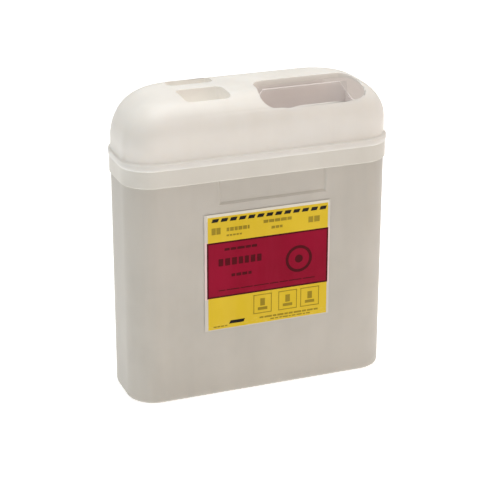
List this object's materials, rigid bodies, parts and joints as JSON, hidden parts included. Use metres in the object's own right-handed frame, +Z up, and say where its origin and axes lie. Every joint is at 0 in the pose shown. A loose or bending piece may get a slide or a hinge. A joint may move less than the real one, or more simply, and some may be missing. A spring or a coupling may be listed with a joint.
{
  "type": "sharps container",
  "caption": "Upright wide sharps container: moulded tub, snapped-on loaf-shaped lid with a carry grip and a side mouth over a counterbalanced drop tray, printed front label.",
  "frame": {"origin": "on the floor under the middle of the base", "axes": "+Z up; the label faces -Y; the mouth is on the +X half and the carry grip on the -X half"},
  "size_m": [0.2736, 0.1046, 0.301],
  "materials": {
    "tub": "satin",
    "lid": "satin",
    "tray": "satin",
    "label": "semi-gloss",
    "steel": "zinc plated",
    "acetal": "satin"
  },
  "bodies": {
    "container": {"container_body": "tub", "lid_cap": "lid", "front_label": "label", "tray_cradle": "acetal", "cradle_stake_1": "lid", "cradle_stake_2": "lid", "cradle_stake_3": "lid", "cradle_stake_4": "lid", "pivot_bush_left": "acetal", "pivot_bush_right": "acetal"},
    "tray": {"drop_tray": "tray", "tray_counterweight": "steel", "weight_rivet_left": "steel", "weight_rivet_right": "steel", "pivot_pin_left": "steel", "pivot_pin_right": "steel"}
  },
  "joints": [
    {"name": "tray_tip", "type": "hinge", "parent": "container", "child": "tray", "pos_m": [0.0575, -0.0225, 0.266], "axis": [1, 0, 0], "range_deg": [0, 88]}
  ]
}
